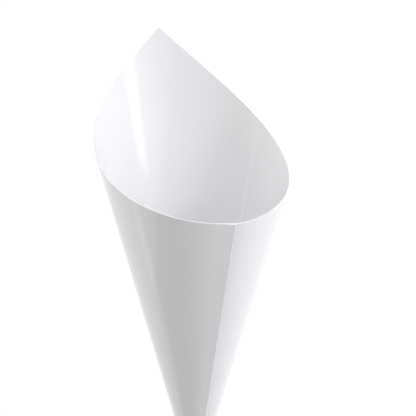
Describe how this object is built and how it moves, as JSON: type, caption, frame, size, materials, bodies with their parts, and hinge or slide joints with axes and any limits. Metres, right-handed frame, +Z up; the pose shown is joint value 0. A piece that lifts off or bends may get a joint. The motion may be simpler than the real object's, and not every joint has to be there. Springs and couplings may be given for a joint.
{
  "type": "paper snack cone",
  "caption": "Square card sheet rolled into a pointed snack cone with a tall peak behind its mouth, lying on its side.",
  "frame": {"origin": "on the floor, under the middle of the cone's outline", "axes": "+Z up; the cone lies along Y, with its mouth facing -Y, its tip towards +Y and its glued lap on top"},
  "size_m": [0.0878, 0.2252, 0.0747],
  "materials": {
    "coated_card": "gloss coated"
  },
  "bodies": {
    "root": {"cone_sheet": "coated_card"}
  },
  "joints": []
}
